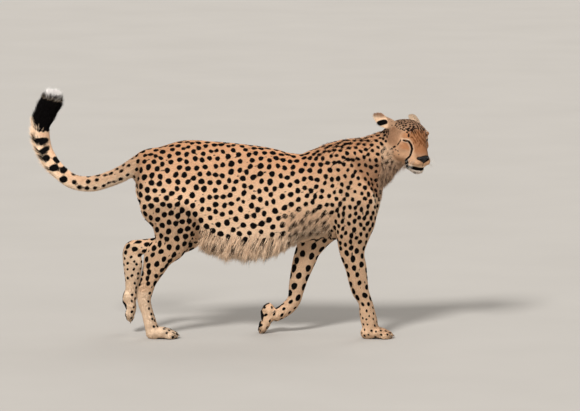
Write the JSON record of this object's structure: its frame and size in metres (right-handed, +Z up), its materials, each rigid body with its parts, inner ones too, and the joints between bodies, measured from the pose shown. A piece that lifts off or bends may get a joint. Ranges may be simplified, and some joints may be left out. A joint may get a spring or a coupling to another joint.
{
  "type": "cheetah",
  "caption": "Life-size standing cheetah in mid walk: spotted coat, head turned to its right, tail curled up behind, one hind foot lifted.",
  "frame": {"origin": "bottom centre of the bounding box, on the floor", "axes": "+X forwards from tail to head, +Y to the animal's left, +Z up"},
  "size_m": [1.6002, 0.2742, 0.9992],
  "materials": {
    "coat": "short tan fur with round black spots, cream below",
    "dark_coat": "long black fur with a white tip",
    "eye": "wet amber brown eye",
    "nose": "moist black nose leather"
  },
  "bodies": {
    "root": {"head": "coat", "jaw": "coat", "nose": "nose", "eye_left": "eye", "eye_right": "eye", "ear_left": "coat", "ear_right": "coat", "neck": "coat", "trunk": "coat", "tail_base": "coat", "tail_middle": "coat", "tail_tuft": "dark_coat", "foreleg_left_upper": "coat", "foreleg_left_forearm": "coat", "foreleg_left_paw": "coat", "foreleg_right_upper": "coat", "foreleg_right_forearm": "coat", "foreleg_right_paw": "coat", "hindleg_left_thigh": "coat", "hindleg_left_shin": "coat", "hindleg_left_paw": "coat", "hindleg_right_thigh": "coat", "hindleg_right_shin": "coat", "hindleg_right_paw": "coat"}
  },
  "joints": []
}
